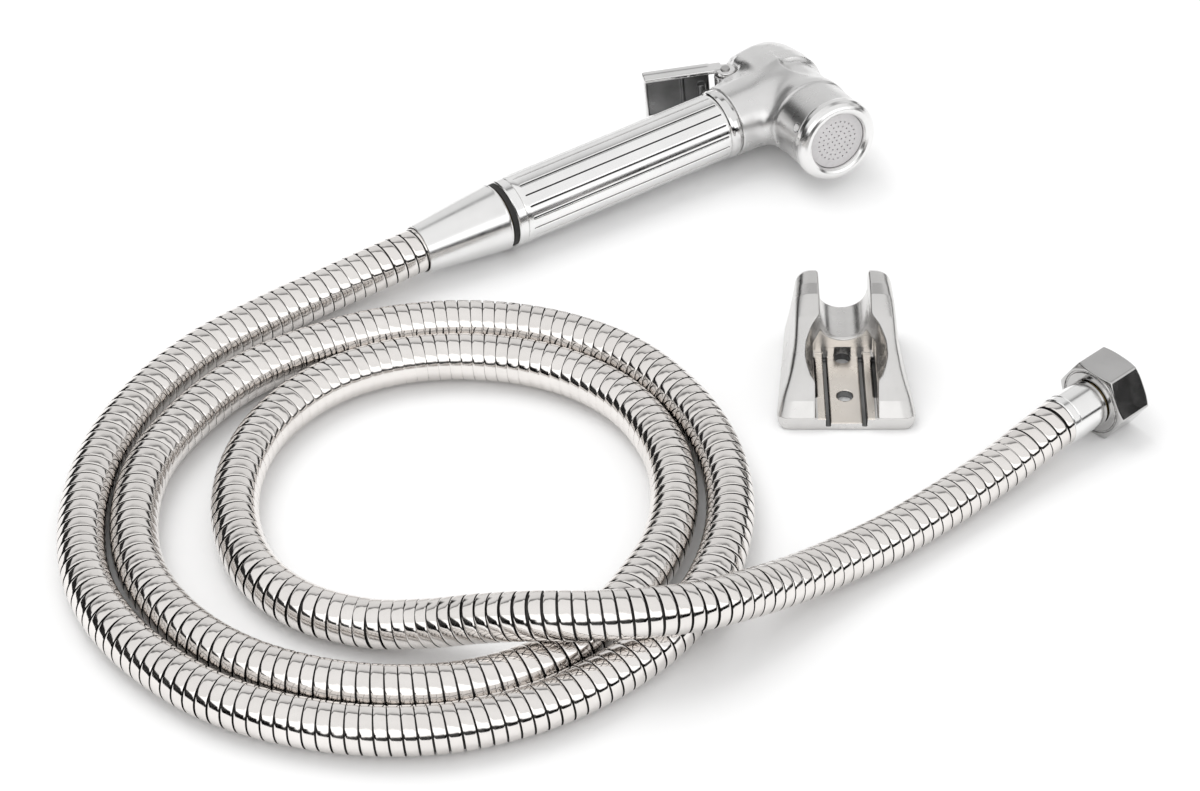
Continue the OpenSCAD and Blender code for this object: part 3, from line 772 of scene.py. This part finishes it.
# ---------------------------------------------------------------- floor and light
def make_floor():
    mesh = bpy.data.meshes.new("floor")
    half = 4.0
    corners = [(-half, -half, 0), (half, -half, 0), (half, half, 0), (-half, half, 0)]
    mesh.from_pydata(corners, [], [(0, 1, 2, 3)])
    obj = bpy.data.objects.new("floor", mesh)
    bpy.context.scene.collection.objects.link(obj)
    mat, tree, shader, vector = new_material("floor_pale")
    tree.links.new(ramp(tree, noise(tree, vector, 6.0), [(0.3, 0.93), (0.7, 0.945)]),
                   shader.inputs["Base Color"])
    tree.links.new(span(tree, noise(tree, vector, 9.0), 0.75, 0.9), shader.inputs["Roughness"])
    shader.inputs["Specular IOR Level"].default_value = 0.15
    mesh.materials.append(mat)


make_floor()


def area_light(name, at, aim, size, power):
    data = bpy.data.lights.new(name, "AREA")
    data.shape = "RECTANGLE"
    data.size, data.size_y = size
    data.energy = power
    obj = bpy.data.objects.new(name, data)
    obj.location = at
    obj.rotation_euler = (Vector(aim) - Vector(at)).to_track_quat("-Z", "Y").to_euler()
    bpy.context.scene.collection.objects.link(obj)
    obj.visible_glossy = False
    return obj


area_light("key_light", (-0.7, 0.5, 1.6), (-0.05, 0.0, 0.0), (1.1, 1.1), 9.0)


def studio_world():
    """White softboxes with dark gaps, seen by glossy rays, and an even white for the rest."""
    world = bpy.data.worlds.new("studio")
    bpy.context.scene.world = world
    world.use_nodes = True
    tree = world.node_tree
    tree.nodes.clear()
    link = tree.links.new
    coord = tree.nodes.new("ShaderNodeTexCoord")
    wobble = tree.nodes.new("ShaderNodeTexNoise")
    wobble.inputs["Scale"].default_value = 2.3
    wobble.inputs["Detail"].default_value = 1.0
    link(coord.outputs["Generated"], wobble.inputs["Vector"])
    split = tree.nodes.new("ShaderNodeSeparateXYZ")
    link(coord.outputs["Generated"], split.inputs["Vector"])

    def math_node(kind, a, b=0.0):
        node = tree.nodes.new("ShaderNodeMath")
        node.operation = kind
        for socket, value in zip(node.inputs, (a, b)):
            if isinstance(value, float):
                socket.default_value = value
            else:
                link(value, socket)
        return node.outputs[0]

    front = math_node("MULTIPLY", split.outputs["Y"], -1.0)
    round_x = math_node("ARCTAN2", front, split.outputs["Z"])
    wave = math_node("MULTIPLY", math_node("SUBTRACT", wobble.outputs["Fac"], 0.5), 0.35)
    whole_turn = math_node("ADD", math_node("ADD", round_x, wave), math.pi)
    at = math_node("DIVIDE", whole_turn, 2 * math.pi)

    def stop(degrees, level):
        return ((degrees + 180.0) / 360.0, level)

    over = ramp(tree, at, [
        stop(-180, 0.80), stop(-96, 0.80), stop(-90, 0.60), stop(-80, 0.74), stop(-46, 0.68),
        stop(-38, 0.45), stop(-35, 0.15), stop(-32, 0.15), stop(-29, 0.80), stop(10, 0.84),
        stop(38, 0.82), stop(44, 1.25), stop(70, 1.25), stop(75, 0.05), stop(92, 0.03),
        stop(95, 0.85), stop(180, 0.80)])
    sides = math_node("ABSOLUTE", split.outputs["X"])
    height = math_node("ADD", math_node("MULTIPLY", split.outputs["X"], 0.13), split.outputs["Z"])
    rim = ramp(tree, math_node("ADD", math_node("MULTIPLY", wave, 0.4), height), [
        (0.0, 0.02), (0.29, 0.02), (0.33, 1.0), (1.0, 1.0)])
    at_sides = ramp(tree, sides, [(0.36, 0.0), (0.46, 1.0)])
    blend = tree.nodes.new("ShaderNodeMix")
    blend.data_type = "RGBA"
    link(at_sides, blend.inputs["Factor"])
    blend.inputs[6].default_value = (1.0, 1.0, 1.0, 1.0)
    link(rim, blend.inputs[7])
    ends = blend.outputs[2]
    mix = tree.nodes.new("ShaderNodeMix")
    mix.data_type = "RGBA"
    mix.blend_type = "MULTIPLY"
    mix.inputs["Factor"].default_value = 1.0
    link(over, mix.inputs[6])
    link(ends, mix.inputs[7])
    shiny = tree.nodes.new("ShaderNodeBackground")
    link(mix.outputs[2], shiny.inputs["Color"])
    shiny.inputs["Strength"].default_value = 1.15
    even = tree.nodes.new("ShaderNodeBackground")
    even.inputs["Color"].default_value = (1.0, 1.0, 1.0, 1.0)
    even.inputs["Strength"].default_value = 1.0
    path = tree.nodes.new("ShaderNodeLightPath")
    choose = tree.nodes.new("ShaderNodeMixShader")
    link(path.outputs["Is Glossy Ray"], choose.inputs[0])
    link(even.outputs[0], choose.inputs[1])
    link(shiny.outputs[0], choose.inputs[2])
    out = tree.nodes.new("ShaderNodeOutputWorld")
    link(choose.outputs[0], out.inputs["Surface"])


studio_world()
bpy.context.scene.view_settings.view_transform = "Standard"
